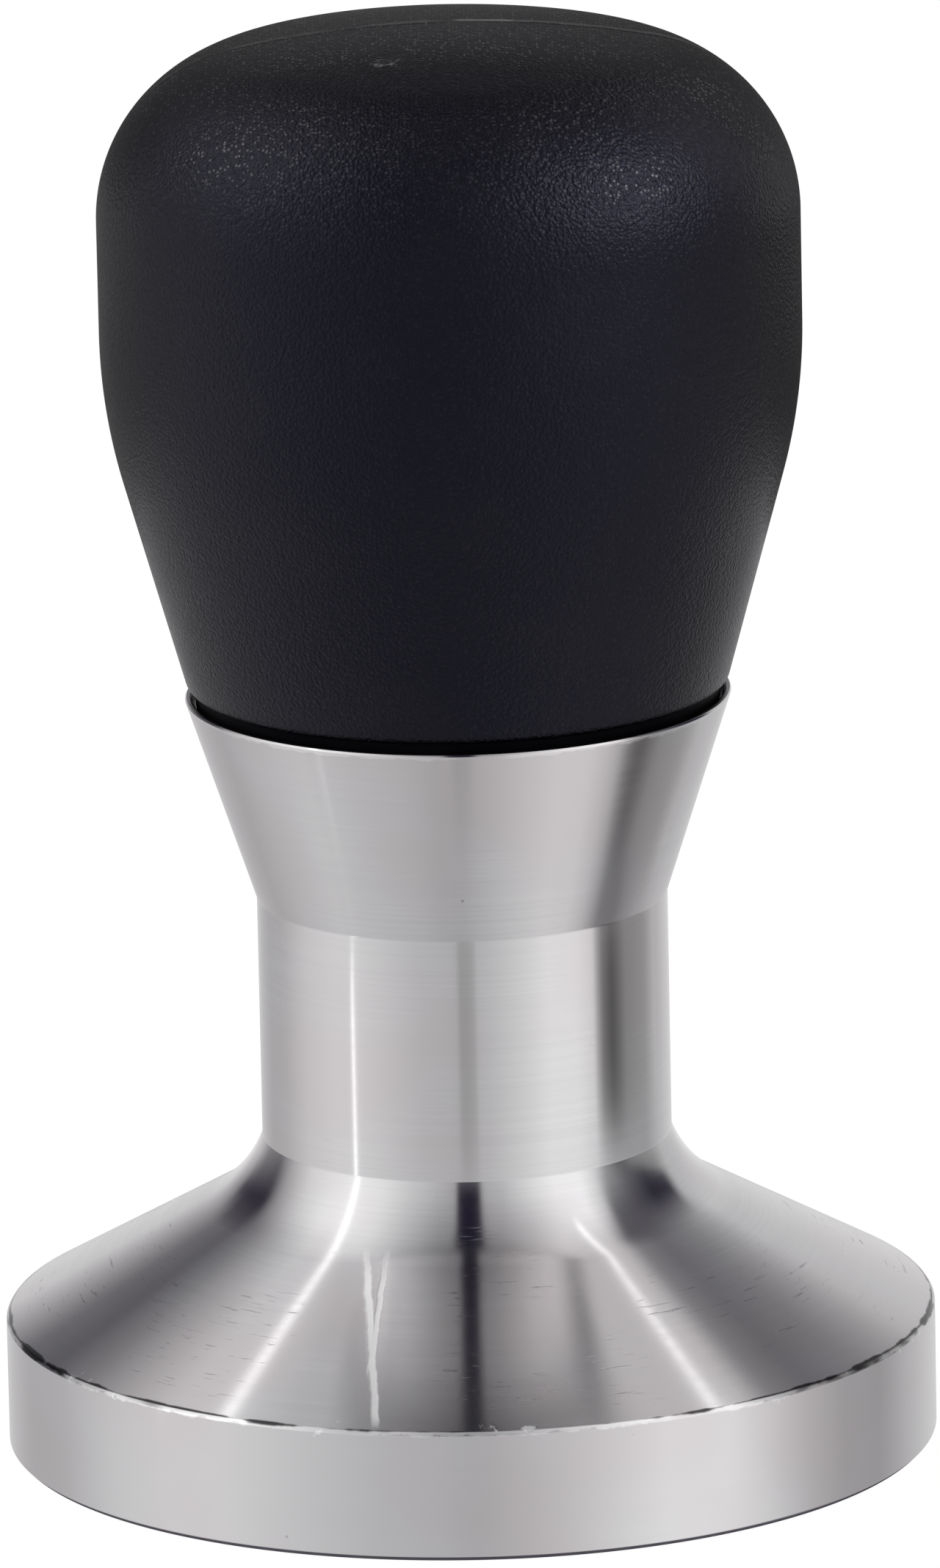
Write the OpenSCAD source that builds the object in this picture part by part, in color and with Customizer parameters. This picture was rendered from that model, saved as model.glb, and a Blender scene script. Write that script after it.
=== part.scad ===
// Espresso tamper: a turned steel base whose cupped collar takes a black moulded handle on a stud.
// Millimetres, +Z up. The origin is the centre of the tamping face, so the tamper stands on z = 0.

/* [Piston] */
// Diameter of the piston that enters the filter basket
piston_d = 58; // [48:0.5:70]
// Height of the piston's straight side
rim_h = 8.1; // [4:0.1:14]
// Chamfer round the tamping face
face_chamfer = 0.3; // [0.1:0.05:1]
// Chamfer on the upper edge of the piston's side
rim_chamfer = 0.15; // [0.05:0.05:0.6]
// Rise of the shoulder above level, in degrees
shoulder_angle = 29; // [15:1:40]
// Radius of the hollow between the shoulder and the neck
hollow_r = 8.4; // [4:0.1:12]
// Angle left at the crease where the hollow meets the neck, in degrees
crease_angle = 20; // [5:1:40]

/* [Neck and collar] */
// Diameter of the neck
neck_d = 25.5; // [22:0.5:32]
// Length of the straight neck
neck_l = 15.3; // [8:0.1:30]
// Diameter of the collar at its lip
collar_d = 33.9; // [28:0.1:42]
// Height of the collar from the neck to its lip
collar_h = 12.8; // [10:0.1:18]
// Thickness of the lip round the foot of the handle
lip_wall = 0.45; // [0.3:0.05:0.8]
// Chamfer on the lip's two edges
lip_chamfer = 0.12; // [0.05:0.01:0.14]
// Depth of the gasket's seat below the lip
seat_depth = 1.2; // [1:0.1:2.5]
// Diameter of the pocket that centres the handle
pocket_d = 21; // [17:0.5:25]
// Depth of that pocket below the seat
pocket_depth = 6; // [3:0.1:8]

/* [Stud] */
// Outside diameter of the thread
thread_d = 10; // [8:1:12]
// Pitch of the thread
thread_pitch = 1.5; // [1:0.25:1.75]
// Whole turns that take the handle off the base
turns_to_free = 9; // [6:1:11]
// Length of the stud inside the handle's insert
stud_in_insert = 16; // [10:0.5:18]
// Width across the flats of the stud's key socket
socket_af = 5; // [4:0.5:6]
// Depth of the key socket
socket_depth = 5; // [3:0.5:7]
// Tapped depth left below the stud
spare_thread = 4; // [2:0.5:6]
// Countersink at the mouth of the tapped hole
countersink = 0.8; // [0.3:0.1:1.5]

/* [Handle outline] */
// Largest diameter of the handle
handle_d = 43.3; // [36:0.1:52]
// How far the foot of the handle stands in from the edge of the collar
foot_inset = 0.25; // [0.1:0.05:1]
// Angle of the handle's lower taper from the axis, in degrees
taper_angle = 15.5; // [8:0.5:16]
// Radius that joins the taper to the widest band
belly_r = 35; // [15:1:36]
// Height of the straight widest band
band_h = 7; // [2:0.1:16]
// Radius of the handle's upper corner
corner_r = 10.7; // [8:0.1:15]
// Radius of the crown
crown_r = 64; // [40:1:120]
// Round on the lower edge of the skin
foot_round = 0.8; // [0.2:0.1:1.2]

/* [Skin, core and lid] */
// Thickness of the soft skin
skin_t = 2.4; // [1.5:0.1:3.5]
// Thickness of the core's wall and of the lid
core_wall = 2.6; // [1.5:0.1:3.5]
// Thickness of the core's floor
core_floor = 2.6; // [1.5:0.1:4]
// Height of the bare foot of the core between the gasket and the skin
foot_ring_h = 0.95; // [0.6:0.05:1.5]
// Diameter of the hub that holds the insert
hub_d = 22; // [19:0.5:23]
// Least width of the bottom of the hollow round the hub
hollow_w = 0.5; // [0.3:0.1:2]
// Thickness of the hub over the end of the insert
hub_cap = 3; // [2:0.1:5]
// Number of ribs between the hub and the wall
rib_count = 6; // [3:1:8]
// Thickness of each rib
rib_t = 1.8; // [1:0.1:3]
// Depth of the lid's plug in the core
plug_depth = 3; // [1.5:0.1:5]
// Thickness of the lid's plug
plug_t = 1.6; // [1:0.1:2]

/* [Insert and gasket] */
// Diameter of the brass insert
insert_d = 15; // [14:0.5:17]
// Length of the insert
insert_l = 20; // [19:0.5:24]
// Width across the two flats that stop the insert turning
insert_flats = 13.8; // [13.6:0.1:15]
// Depth of the two grooves that hold the insert in
groove_depth = 0.8; // [0.3:0.1:0.9]
// Width of each of those grooves
groove_w = 2.5; // [1:0.5:4]
// Thickness of the rubber gasket
gasket_t = 0.8; // [0.5:0.1:0.9]

/* [Fits] */
// Radial clearance of the stud in the tapped hole
thread_gap = 0.08; // [0.02:0.01:0.1]
// Radial clearance of the core's spigot in its pocket
spigot_gap = 0.12; // [0.05:0.01:0.3]
// Clearance under the end of the spigot
spigot_end_gap = 0.5; // [0.2:0.1:1]
// Gap between the lip and what sits inside it
lip_gap = 0.12; // [0.05:0.01:0.3]
// Radial clearance of the lid's plug in the core
plug_gap = 0.05; // [0.02:0.01:0.1]

/* [Hidden] */
$fn = 128;
arc_steps = 16;        // straight steps in each arc of an outline
drill_angle = 59;      // half angle of the end of the drilled hole
stud_chamfer = 1;      // at both ends of the stud
rib_root = 1;          // how far a rib runs into what it joins
cut = 1;               // how far a cutting shape runs past the face that it opens

// Base, from the tamping face up. The hollow is tangent to the shoulder and meets the neck at the crease.
piston_r = piston_d / 2;
neck_r = neck_d / 2;
hollow_x = neck_r + hollow_r * cos(crease_angle);
hollow_z = rim_h + (hollow_r + (piston_r - hollow_x) * sin(shoulder_angle)) / cos(shoulder_angle);
neck_z = hollow_z - hollow_r * sin(crease_angle);
collar_z = neck_z + neck_l;
collar_r = collar_d / 2;
lip_z = collar_z + collar_h;
seat_z = lip_z - seat_depth;
pocket_r = pocket_d / 2;
pocket_z = seat_z - pocket_depth;

// Radius of the collar's inside wall at a height, less a gap
function cup_r(z, gap = 0) = collar_r - lip_wall - gap - (lip_z - z) * (collar_r - neck_r) / collar_h;

// Stud, threaded into the base from the pocket's floor and into the insert from the spigot's end
thread_r = thread_d / 2;
spigot_z = pocket_z + spigot_end_gap;
stud_reach = turns_to_free * thread_pitch;
stud_low = pocket_z - stud_reach;
stud_top = spigot_z + stud_in_insert;

// Handle, from its foot up
foot_z = seat_z + gasket_t;
skin_z = foot_z + foot_ring_h;
handle_r = handle_d / 2;
belly_x = handle_r - belly_r;
foot_r = collar_r - foot_inset;
belly_z = skin_z + (belly_x + belly_r * cos(taper_angle) - foot_r) / tan(taper_angle)
    + belly_r * sin(taper_angle);
corner_x = handle_r - corner_r;
corner_z = belly_z + band_h;
crown_z = corner_z - sqrt(pow(crown_r - corner_r, 2) - pow(corner_x, 2));
crown_turn = atan2(corner_z - crown_z, corner_x);
insert_r = insert_d / 2;
insert_top = spigot_z + insert_l;
hub_r = hub_d / 2;
rib_top = min(insert_top, belly_z - belly_r * sin(taper_angle));
lid_inside = skin_t + core_wall;
floor_z = max(foot_z + core_floor,
    skin_z + (hub_r + hollow_w + lid_inside / cos(taper_angle) - foot_r) / tan(taper_angle));
plug_r = handle_r - lid_inside - plug_gap;
plug_turn = acos((plug_r - plug_t - corner_x) / (corner_r - lid_inside));

// Points along an arc of an outline, between two angles in degrees, from step first on
function arc(x, z, r, from, to, first = 0) =
    [for (i = [first:arc_steps]) let (a = from + (to - from) * i / arc_steps)
        [x + r * cos(a), z + r * sin(a)]];

// The handle's outline, moved in by t: its taper's radius at a height, its belly, and its corner and crown
function taper_r(z, t) = foot_r + (z - skin_z) * tan(taper_angle) - t / cos(taper_angle);
function belly(t) = arc(belly_x, belly_z, belly_r - t, -taper_angle, 0);
function dome(t, from = 0) = concat(arc(corner_x, corner_z, corner_r - t, from, crown_turn),
    arc(0, crown_z, crown_r - t, crown_turn, 90, 1));

function backwards(points) = [for (i = [len(points) - 1:-1:0]) points[i]];

module steel_base() {
    piston = [[0, 0], [piston_r - face_chamfer, 0], [piston_r, face_chamfer], [piston_r, rim_h - rim_chamfer],
        [piston_r - rim_chamfer, rim_h + rim_chamfer * tan(shoulder_angle)]];
    hollow = arc(hollow_x, hollow_z, hollow_r, -90 - shoulder_angle, -180 + crease_angle);
    lip = [[cup_r(lip_z - lip_chamfer, -lip_wall), lip_z - lip_chamfer], [collar_r - lip_chamfer, lip_z],
        [cup_r(lip_z) + lip_chamfer, lip_z], [cup_r(lip_z - lip_chamfer), lip_z - lip_chamfer]];
    bore_r = thread_r + thread_gap;
    bore_z = stud_low - spare_thread;
    inside = [[cup_r(seat_z), seat_z], [pocket_r, seat_z], [pocket_r, pocket_z],
        [bore_r + countersink, pocket_z], [bore_r, pocket_z - countersink],
        [bore_r, bore_z], [0, bore_z - bore_r / tan(drill_angle)]];
    color("silver") rotate_extrude() polygon(concat(piston, hollow, [[neck_r, collar_z]], lip, inside));
}

module foot_gasket() {
    color("dimgray") translate([0, 0, seat_z]) difference() {
        cylinder(h = gasket_t, r = cup_r(seat_z, lip_gap));
        translate([0, 0, -cut]) cylinder(h = gasket_t + 2 * cut, r = pocket_r);
    }
}

module joining_stud() {
    end_r = thread_r - stud_chamfer;
    color("lightsteelblue") difference() {
        rotate_extrude() polygon([[0, stud_low], [end_r, stud_low], [thread_r, stud_low + stud_chamfer],
            [thread_r, stud_top - stud_chamfer], [end_r, stud_top], [0, stud_top]]);
        translate([0, 0, stud_low - cut])
            cylinder(h = socket_depth + cut, d = socket_af / cos(30), $fn = 6);
    }
}

// The insert without its hole, from a height up
module insert_body(low) {
    grooves = [for (k = [1, 3]) let (z = spigot_z + k * insert_l / 5)
        each [[insert_r, z], [insert_r - groove_depth, z],
              [insert_r - groove_depth, z + groove_w], [insert_r, z + groove_w]]];
    difference() {
        rotate_extrude() polygon(concat([[0, low], [insert_r, low]], grooves,
            [[insert_r, insert_top], [0, insert_top]]));
        for (side = [0, 180]) rotate([0, 0, side])
            translate([insert_flats / 2, -insert_r, low - cut])
                cube([insert_r, 2 * insert_r, insert_top - low + 2 * cut]);
    }
}

module threaded_insert() {
    color("goldenrod") difference() {
        insert_body(spigot_z);
        translate([0, 0, spigot_z - cut]) cylinder(h = stud_top - spigot_z + cut, r = thread_r);
    }
}

module rib() {
    root_r = hub_r - rib_root;
    root_z = floor_z - rib_root;
    wall_middle = skin_t + core_wall / 2;
    rotate([90, 0, 0]) linear_extrude(height = rib_t, center = true)
        polygon([[root_r, root_z], [taper_r(root_z, wall_middle), root_z],
            [taper_r(rib_top, wall_middle), rib_top], [root_r, rib_top]]);
}

module handle_core() {
    spigot_r = pocket_r - spigot_gap;
    ring_r = cup_r(foot_z, lip_gap);
    foot = [[spigot_r, spigot_z], [spigot_r, foot_z], [ring_r, foot_z], [ring_r, skin_z],
        [taper_r(skin_z, skin_t), skin_z]];
    outside = concat(belly(skin_t), [[handle_r - skin_t, corner_z]]);
    cavity = concat([[handle_r - lid_inside, corner_z]], backwards(belly(lid_inside)),
        [[taper_r(floor_z, lid_inside), floor_z], [hub_r, floor_z], [hub_r, insert_top + hub_cap],
         [0, insert_top + hub_cap]]);
    color("darkslategray") difference() {
        union() {
            rotate_extrude() polygon(concat([[0, spigot_z]], foot, outside, cavity));
            for (i = [0:rib_count - 1]) rotate([0, 0, i * 360 / rib_count]) rib();
        }
        insert_body(spigot_z - cut);
    }
}

module core_lid() {
    plug = [[plug_r, corner_z], [plug_r, corner_z - plug_depth], [plug_r - plug_t, corner_z - plug_depth]];
    color("slategray") rotate_extrude()
        polygon(concat(plug, dome(lid_inside, plug_turn), backwards(dome(skin_t))));
}

module grip_skin() {
    foot = arc(taper_r(skin_z + foot_round, foot_round), skin_z + foot_round, foot_round, -90, -taper_angle);
    color("#232228") rotate_extrude() polygon(concat(foot, belly(0), dome(0), backwards(dome(skin_t)),
        backwards(belly(skin_t)), [[taper_r(skin_z, skin_t), skin_z]]));
}

steel_base();
foot_gasket();
joining_stud();
threaded_insert();
handle_core();
core_lid();
grip_skin();
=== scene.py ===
import math

import bmesh
import bpy
import numpy as np
from mathutils import Matrix, Vector


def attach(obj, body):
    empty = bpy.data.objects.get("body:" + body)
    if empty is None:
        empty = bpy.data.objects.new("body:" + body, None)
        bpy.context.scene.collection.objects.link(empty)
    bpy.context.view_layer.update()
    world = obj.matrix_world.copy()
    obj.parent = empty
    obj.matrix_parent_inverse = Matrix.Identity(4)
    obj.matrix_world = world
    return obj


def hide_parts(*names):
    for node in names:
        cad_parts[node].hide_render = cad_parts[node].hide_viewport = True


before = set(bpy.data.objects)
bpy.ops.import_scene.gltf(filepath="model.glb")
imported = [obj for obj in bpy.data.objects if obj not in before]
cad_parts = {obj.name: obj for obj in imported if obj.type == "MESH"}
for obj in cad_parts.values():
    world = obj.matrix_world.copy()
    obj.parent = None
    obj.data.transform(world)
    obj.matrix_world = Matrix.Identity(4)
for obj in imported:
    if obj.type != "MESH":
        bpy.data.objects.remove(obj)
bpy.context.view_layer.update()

scene = bpy.context.scene
mm = 0.001               # the pieces' own sizes are in millimetres, as in the part's source
bendStep = 15            # degrees of a fillet to each of its steps
sharpAngle = 18          # faces that meet at more degrees than this keep a sharp edge
mergeDistance = 1e-7     # mesh points closer than this, in metres, become one
rowDistance = 1e-5       # outline rows closer than this, in millimetres, become one
print("frame loaded:", ", ".join(sorted(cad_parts)))


# An outline is an array of (distance from the axis, height) rows that keeps the metal on its left

def line(start, end, steps):
    # Points evenly spaced from start to end
    return np.linspace(start, end, steps + 1)


def arc(centre, radius, fromAngle, toAngle, steps):
    # Points of a circle: centre + radius * (cos angle, sin angle), angles in degrees
    angle = np.radians(np.linspace(fromAngle, toAngle, steps + 1))
    return np.column_stack([centre[0] + radius * np.cos(angle), centre[1] + radius * np.sin(angle)])


def rounded(corners):
    # corners are (distance, height, fillet) rows. The arc that replaces a corner touches both sides, so its centre
    # stands fillet / sin(half the corner's angle) along the corner's bisector. A row beside each end of the arc keeps
    # the flat sides flat.
    here = np.array([c[:2] for c in corners], float)
    rows = [here[:1]]
    for i in range(1, len(corners) - 1):
        fillet = corners[i][2]
        if fillet == 0:
            rows.append(here[i:i + 1])
            continue
        back, ahead = here[i - 1] - here[i], here[i + 1] - here[i]
        back, ahead = back / np.linalg.norm(back), ahead / np.linalg.norm(ahead)
        half = math.acos(np.clip(back @ ahead, -1, 1)) / 2
        bisector = (back + ahead) / np.linalg.norm(back + ahead)
        across = back - bisector * (back @ bisector)
        across = across / np.linalg.norm(across)
        centre = here[i] + bisector * fillet / math.sin(half)
        steps = max(2, math.ceil(math.degrees(math.pi - 2 * half) / bendStep))
        turn = np.linspace(math.pi / 2 - half, half - math.pi / 2, steps + 1)[:, None]
        bend = centre + fillet * (across * np.sin(turn) - bisector * np.cos(turn))
        rows.append(np.vstack([bend[0] + back * fillet / 4, bend, bend[-1] + ahead * fillet / 4]))
    rows.append(here[-1:])
    return np.vstack(rows)


def joined(*parts):
    # One outline from several, without the points that repeat where they meet
    rows = np.vstack(parts)
    keep = np.ones(len(rows), bool)
    keep[1:] = np.linalg.norm(np.diff(rows, axis=0), axis=1) > rowDistance
    return rows[keep]


def lathe(name, rows, steps, shape=None):
    # An outline carried round the Z axis: (r cos a, r sin a, z) over a grid of outline rows and angles. shape(r, z, a)
    # may change r. Points that fall together, at a pole or where an outline meets its own start, are merged.
    angle = np.arange(steps) * 2 * math.pi / steps
    r = np.broadcast_to(rows[:, :1], (len(rows), steps))
    z = np.broadcast_to(rows[:, 1:], (len(rows), steps))
    if shape:
        r = shape(r, z, angle[None, :])
    points = np.stack([r * np.cos(angle), r * np.sin(angle), z], 2).reshape(-1, 3) * mm
    low = np.arange(len(rows) - 1)[:, None] * steps
    here, beside = np.arange(steps), (np.arange(steps) + 1) % steps
    quads = np.stack([low + here, low + beside, low + steps + beside, low + steps + here], 2).reshape(-1, 4)
    mesh = bpy.data.meshes.new(name)
    mesh.from_pydata(points, [], quads)

    shell = bmesh.new()
    shell.from_mesh(mesh)
    bmesh.ops.remove_doubles(shell, verts=shell.verts, dist=mergeDistance)
    bmesh.ops.dissolve_degenerate(shell, dist=mergeDistance, edges=shell.edges)
    shell.to_mesh(mesh)
    shell.free()

    mesh.shade_smooth()
    mesh.set_sharp_from_angle(angle=math.radians(sharpAngle))
    piece = bpy.data.objects.new(name, mesh)
    scene.collection.objects.link(piece)
    return piece


def ready(piece, body, node, finish):
    # The piece takes its finish, moves with a body and stands for a node
    piece.data.materials.append(finish)
    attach(piece, body)
    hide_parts(node)
    print("made", piece.name, "with", len(piece.data.polygons), "faces")
    return piece


def thread(pitch, crest, root, lowEnd, highEnd, fade):
    # Distance from the axis of a right-hand thread: a wave in height / pitch - angle / turn, cut flat at its crest and
    # root, that fades to the crest line at both ends. Only rows on the crest line change. The base's thread and the
    # stud's follow one helix, so they stay in mesh while the stud turns and rises.
    steepness, flat, onCrest = 1.5, 0.25, 0.02

    def shape(r, z, angle):
        phase = (z / pitch - angle / (2 * math.pi)) % 1
        wave = np.clip(np.abs(2 * phase - 1) * steepness - flat, 0, 1)
        ends = np.clip((z - lowEnd) / fade, 0, 1) * np.clip((highEnd - z) / fade, 0, 1)
        cut = (z > lowEnd) & (z < highEnd) & (np.abs(r - crest) < onCrest)
        return np.where(cut, crest + (root - crest) * wave * ends, r)
    return shape


base = {
    "pistonRadius": 29, "rimHeight": 8.1, "faceChamfer": 0.3, "rimChamfer": 0.15, "shoulderAngle": 29,
    "hollowRadius": 8.4, "creaseAngle": 20, "neckRadius": 12.75, "neckLength": 15.3,
    "collarRadius": 16.95, "collarHeight": 12.8, "lipWall": 0.45, "lipChamfer": 0.12,
    "seatDepth": 1.2, "pocketRadius": 10.5, "pocketDepth": 6, "boreRadius": 5.08, "countersink": 0.8,
    "boreFloor": 22.864, "drillAngle": 59, "threadPitch": 1.5, "threadRoot": 4.2, "threadFade": 1.2,
    "faceRounds": (0.06, 0.1), "rimRounds": (0.08, 0.12), "collarRound": 0.25, "lipRound": 0.04,
    "seatRound": 0.1, "pocketRounds": (0.12, 0.2), "boreRound": 0.08,
    "steps": 400, "hollowSteps": 40, "boreSteps": 100, "drillSteps": 6,
}


def baseOutline(b):
    # From the middle of the face up the outside, over the lip, and down the cup and the bore to the drill's point.
    # Returns the outline and the height of the bore's mouth.
    slope, crease, drill = (math.radians(b[key]) for key in ("shoulderAngle", "creaseAngle", "drillAngle"))
    hollowX = b["neckRadius"] + b["hollowRadius"] * math.cos(crease)
    hollowZ = b["rimHeight"] + (b["hollowRadius"] + (b["pistonRadius"] - hollowX) * math.sin(slope)) / math.cos(slope)
    neckZ = hollowZ - b["hollowRadius"] * math.sin(crease)
    collarZ = neckZ + b["neckLength"]
    lipZ = collarZ + b["collarHeight"]
    flare = (b["collarRadius"] - b["neckRadius"]) / b["collarHeight"]
    seatZ = lipZ - b["seatDepth"]
    pocketZ = seatZ - b["pocketDepth"]
    chamferZ = lipZ - b["lipChamfer"]

    def cup(z, out=0):
        return b["collarRadius"] - b["lipWall"] + out - (lipZ - z) * flare

    foot = rounded([(0, 0, 0), (b["pistonRadius"] - b["faceChamfer"], 0, b["faceRounds"][0]),
                    (b["pistonRadius"], b["faceChamfer"], b["faceRounds"][1]),
                    (b["pistonRadius"], b["rimHeight"] - b["rimChamfer"], b["rimRounds"][0]),
                    (b["pistonRadius"] - b["rimChamfer"], b["rimHeight"] + b["rimChamfer"] * math.tan(slope),
                     b["rimRounds"][1]),
                    (hollowX - b["hollowRadius"] * math.sin(slope), hollowZ - b["hollowRadius"] * math.cos(slope), 0)])
    hollow = arc((hollowX, hollowZ), b["hollowRadius"], -90 - b["shoulderAngle"], b["creaseAngle"] - 180,
                 b["hollowSteps"])
    neck = rounded([(b["neckRadius"], neckZ, 0), (b["neckRadius"], collarZ, b["collarRound"]),
                    (cup(chamferZ, b["lipWall"]), chamferZ, b["lipRound"]),
                    (b["collarRadius"] - b["lipChamfer"], lipZ, b["lipRound"]),
                    (cup(lipZ) + b["lipChamfer"], lipZ, b["lipRound"]),
                    (cup(chamferZ), chamferZ, b["lipRound"]),
                    (cup(seatZ), seatZ, b["seatRound"]),
                    (b["pocketRadius"], seatZ, b["pocketRounds"][0]),
                    (b["pocketRadius"], pocketZ, b["pocketRounds"][1]),
                    (b["boreRadius"] + b["countersink"], pocketZ, b["boreRound"]),
                    (b["boreRadius"], pocketZ - b["countersink"], 0)])
    bore = line((b["boreRadius"], pocketZ - b["countersink"]), (b["boreRadius"], b["boreFloor"]), b["boreSteps"])
    point = line((b["boreRadius"], b["boreFloor"]), (0, b["boreFloor"] - b["boreRadius"] / math.tan(drill)),
                 b["drillSteps"])
    return joined(foot, hollow, neck, bore, point), pocketZ


def basePiece(b):
    outline, mouth = baseOutline(b)
    cutThread = thread(b["threadPitch"], b["boreRadius"], b["threadRoot"], b["boreFloor"], mouth - b["countersink"],
                       b["threadFade"])
    return lathe("turned_base", outline, b["steps"], shape=cutThread)


gasket = {"innerRadius": 10.5, "outerRadius": 15.99, "low": 46.364, "high": 47.164, "edge": 0.2, "steps": 192}


def gasketPiece(g):
    # A flat ring with rounded edges, whose outline starts and ends halfway up its inside
    middle = (g["low"] + g["high"]) / 2
    corners = [(g["innerRadius"], g["low"]), (g["outerRadius"], g["low"]), (g["outerRadius"], g["high"]),
               (g["innerRadius"], g["high"])]
    outline = rounded([(g["innerRadius"], middle, 0), *((x, z, g["edge"]) for x, z in corners),
                       (g["innerRadius"], middle, 0)])
    return lathe("seat_gasket", outline, g["steps"])


stud = {
    "radius": 4.95, "threadRoot": 4.08, "threadFade": 1.2, "low": 26.864, "high": 56.864, "endChamfer": 1,
    "socketFlats": 5, "socketDepth": 5, "steps": 96, "threadSteps": 220,
}


def studPiece(s):
    # A threaded rod with a hexagon sunk in its low end. The socket's wall distance is flats / 2 / cos of the angle
    # from the middle of its nearest flat.
    end = s["radius"] - s["endChamfer"]
    mouth = s["socketFlats"] / 2 / math.cos(math.pi / 6)
    socketZ = s["low"] + s["socketDepth"]
    lowZ, highZ = s["low"] + s["endChamfer"], s["high"] - s["endChamfer"]
    outline = joined(line((0, socketZ), (mouth, socketZ), 2), line((mouth, socketZ), (mouth, s["low"]), 3),
                     line((mouth, s["low"]), (end, s["low"]), 2), line((end, s["low"]), (s["radius"], lowZ), 3),
                     line((s["radius"], lowZ), (s["radius"], highZ), s["threadSteps"]),
                     line((s["radius"], highZ), (end, s["high"]), 3), line((end, s["high"]), (0, s["high"]), 4))
    cutThread = thread(base["threadPitch"], s["radius"], s["threadRoot"], lowZ, highZ, s["threadFade"])
    slack = 1e-6

    def shape(r, z, angle):
        fromFlat = (angle + math.pi / 6) % (math.pi / 3) - math.pi / 6
        hexagon = s["socketFlats"] / 2 / np.cos(fromFlat)
        inSocket = (r <= mouth + slack) & (z <= socketZ + slack)
        return np.where(inSocket, r / mouth * hexagon, cutThread(r, z, angle))
    return lathe("threaded_stud", outline, s["steps"], shape=shape)


grip = {
    "footRadius": 16.7, "footHeight": 48.114, "taperAngle": 15.5, "footRound": 0.8,
    "radius": 21.65, "bellyRadius": 35, "bandHeight": 7, "cornerRadius": 10.7, "crownRadius": 64,
    "thickness": 2.4, "steps": 400, "footSteps": 10, "insideSteps": (8, 12, 8), "outsideSteps": (26, 48, 40),
}


def gripOutline(g):
    # From the pole of the inside down to the foot, then up the outside to the crown's pole
    taper = math.radians(g["taperAngle"])
    bellyX = g["radius"] - g["bellyRadius"]
    taperHeight = (bellyX + g["bellyRadius"] * math.cos(taper) - g["footRadius"]) / math.tan(taper)
    bellyZ = g["footHeight"] + taperHeight + g["bellyRadius"] * math.sin(taper)
    cornerX, cornerZ = g["radius"] - g["cornerRadius"], bellyZ + g["bandHeight"]
    crownZ = cornerZ - math.sqrt((g["crownRadius"] - g["cornerRadius"]) ** 2 - cornerX ** 2)
    crownTurn = math.degrees(math.atan2(cornerZ - crownZ, cornerX))

    def wall(z, inward):
        return g["footRadius"] + (z - g["footHeight"]) * math.tan(taper) - inward / math.cos(taper)

    def side(inward, steps):
        return joined(arc((bellyX, bellyZ), g["bellyRadius"] - inward, -g["taperAngle"], 0, steps[0]),
                      line((g["radius"] - inward, bellyZ), (g["radius"] - inward, cornerZ), 4),
                      arc((cornerX, cornerZ), g["cornerRadius"] - inward, 0, crownTurn, steps[1]),
                      arc((0, crownZ), g["crownRadius"] - inward, crownTurn, 90, steps[2]))

    footZ = g["footHeight"] + g["footRound"]
    foot = arc((wall(footZ, g["footRound"]), footZ), g["footRound"], -90, -g["taperAngle"], g["footSteps"])
    inner, outer = side(g["thickness"], g["insideSteps"])[::-1], side(0, g["outsideSteps"])
    seam = (wall(g["footHeight"], g["thickness"]), g["footHeight"])
    return joined(inner, line(inner[-1], seam, 3), line(seam, foot[0], 2), foot, line(foot[-1], outer[0], 8), outer)


def put(tree, kind, inputs=None, **settings):
    # A new node with its settings. An input takes a plain value, or the socket it is linked to.
    made = tree.nodes.new(kind)
    for key, value in settings.items():
        setattr(made, key, value)
    for key, value in (inputs or {}).items():
        if isinstance(value, bpy.types.NodeSocket):
            tree.links.new(value, made.inputs[key])
        else:
            made.inputs[key].default_value = value
    return made


def maths(tree, operation, a, b=0.0, c=0.0):
    return put(tree, "ShaderNodeMath", {0: a, 1: b, 2: c}, operation=operation).outputs[0]


def between(tree, value, low, high, toLow=0.0, toHigh=1.0):
    # value carried smoothly from the range low..high to toLow..toHigh
    return put(tree, "ShaderNodeMapRange", {0: value, 1: low, 2: high, 3: toLow, 4: toHigh},
               interpolation_type="SMOOTHSTEP").outputs[0]


def mixed(tree, share, a, b):
    return put(tree, "ShaderNodeMix", {0: share, 6: a, 7: b}, data_type="RGBA").outputs[2]


def cloud(tree, place, perMetre, detail, roughness=0.5):
    # Smooth noise about 0.5
    return put(tree, "ShaderNodeTexNoise", {"Vector": place, "Scale": perMetre, "Detail": detail,
                                            "Roughness": roughness}).outputs["Fac"]


def split(tree, place):
    return put(tree, "ShaderNodeSeparateXYZ", {0: place}).outputs


def length(tree, x, y):
    flat = put(tree, "ShaderNodeCombineXYZ", {0: x, 1: y}).outputs[0]
    return put(tree, "ShaderNodeVectorMath", {0: flat}, operation="LENGTH").outputs["Value"]


def group(name, numbers, masks):
    # An empty node group that takes a place and named numbers, and puts out named masks
    tree = bpy.data.node_groups.new(name, "ShaderNodeTree")
    tree.interface.new_socket("Place", in_out="INPUT", socket_type="NodeSocketVector")
    for label, value in numbers.items():
        tree.interface.new_socket(label, in_out="INPUT", socket_type="NodeSocketFloat").default_value = value
    for label in masks:
        tree.interface.new_socket(label, in_out="OUTPUT", socket_type="NodeSocketFloat")
    return tree, tree.nodes.new("NodeGroupInput").outputs, tree.nodes.new("NodeGroupOutput").inputs


def use(tree, made, inputs):
    return put(tree, "ShaderNodeGroup", inputs, node_tree=made).outputs


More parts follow.
